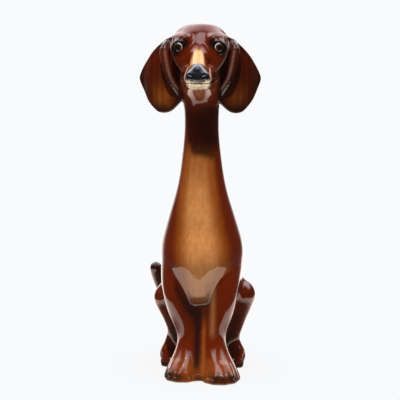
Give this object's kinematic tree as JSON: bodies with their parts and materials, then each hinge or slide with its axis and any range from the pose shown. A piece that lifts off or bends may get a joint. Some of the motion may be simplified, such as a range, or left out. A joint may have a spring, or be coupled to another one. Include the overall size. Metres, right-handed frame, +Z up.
{
  "type": "dog figurine",
  "caption": "Glazed ceramic figurine of a seated long-necked dachshund with hanging ears, shaded from tan chest to dark limbs, for standing on a shelf.",
  "frame": {"origin": "middle of the bounding box in X and Y, on the plane the figure stands on", "axes": "-Y is the way the dog faces, +X is its left side, +Z is up"},
  "size_m": [0.1028, 0.122, 0.2999],
  "materials": {
    "glaze_tan_brown": "clear gloss glaze over tan chest shaded into brown",
    "glaze_red_brown": "clear gloss glaze over red brown",
    "glaze_dark_brown": "clear gloss glaze over dark brown shaded to black",
    "eye_enamel": "gloss white with a painted brown iris and black pupil",
    "nose_enamel": "gloss black"
  },
  "bodies": {
    "root": {"body": "glaze_tan_brown", "head": "glaze_red_brown", "ear_left": "glaze_dark_brown", "ear_right": "glaze_dark_brown", "eye_left": "eye_enamel", "eye_right": "eye_enamel", "nose": "nose_enamel", "foreleg_left": "glaze_red_brown", "foreleg_right": "glaze_red_brown", "hind_leg_left": "glaze_dark_brown", "hind_leg_right": "glaze_dark_brown", "hind_foot_left": "glaze_dark_brown", "hind_foot_right": "glaze_dark_brown", "tail": "glaze_dark_brown"}
  },
  "joints": []
}
